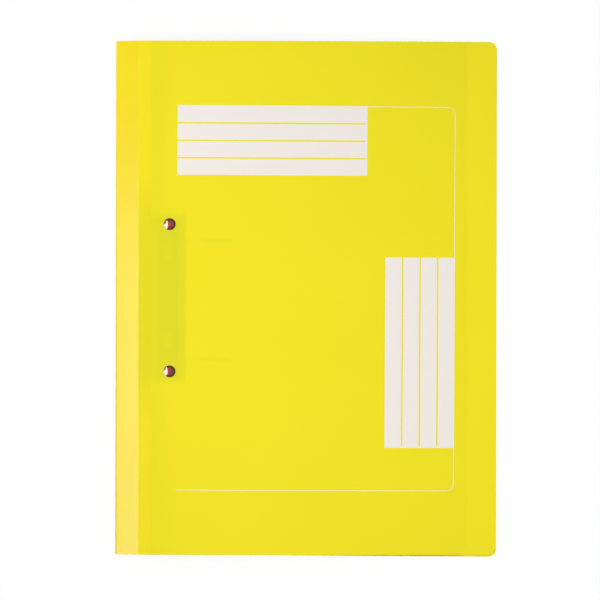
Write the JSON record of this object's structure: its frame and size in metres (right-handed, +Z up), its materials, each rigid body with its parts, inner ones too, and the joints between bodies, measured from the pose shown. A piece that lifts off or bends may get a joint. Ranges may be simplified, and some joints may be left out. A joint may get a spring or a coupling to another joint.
{
  "type": "plastic file folder",
  "caption": "Closed portrait file of creased translucent plastic sheet with a spring action two-prong paper mechanism riveted inside the front cover.",
  "frame": {"origin": "middle of the closed file's footprint, on the surface that it lies on", "axes": "+X from the fold to the fore edge, +Y up the page, +Z up through the closed file, out of its front cover"},
  "size_m": [0.2582, 0.348, 0.0165],
  "materials": {
    "yellow_plastic": "translucent, fine satin grain",
    "nickel_plate": "bright nickel plate",
    "spring_steel": "drawn wire, satin",
    "coppered_steel": "polished copper plate",
    "white_ink": "screen printed white ink, on the front cover"
  },
  "bodies": {
    "back": {"back_cover": "yellow_plastic"},
    "spine": {"spine_panel": "yellow_plastic"},
    "strip": {"hinge_strip": "yellow_plastic"},
    "front": {"front_cover": "yellow_plastic", "base_plate": "nickel_plate", "torsion_spring": "spring_steel", "rivet_top": "coppered_steel", "rivet_bottom": "coppered_steel"},
    "prongs": {"prong_wire": "nickel_plate"}
  },
  "joints": [
    {"name": "back_crease", "type": "hinge", "parent": "back", "child": "spine", "pos_m": [-0.12892, 0, 0.0008], "axis": [0, -1, 0], "range_deg": [0, 141]},
    {"name": "spine_crease", "type": "hinge", "parent": "spine", "child": "strip", "pos_m": [-0.11349, 0, 0.01188], "axis": [0, -1, 0], "range_deg": [0, 23.6]},
    {"name": "gutter_crease", "type": "hinge", "parent": "strip", "child": "front", "pos_m": [-0.10468, 0, 0.01375], "axis": [0, -1, 0], "range_deg": [0, 12]},
    {"name": "prong_hinge", "type": "hinge", "parent": "front", "child": "prongs", "pos_m": [-0.08968, 0, 0.01005], "axis": [0, 1, 0], "range_deg": [0, 110], "deforming": ["torsion_spring"]}
  ],
  "couplings": [
    {"joint": "prong_hinge", "follows": "back_crease", "ratio": 0.7801}
  ]
}
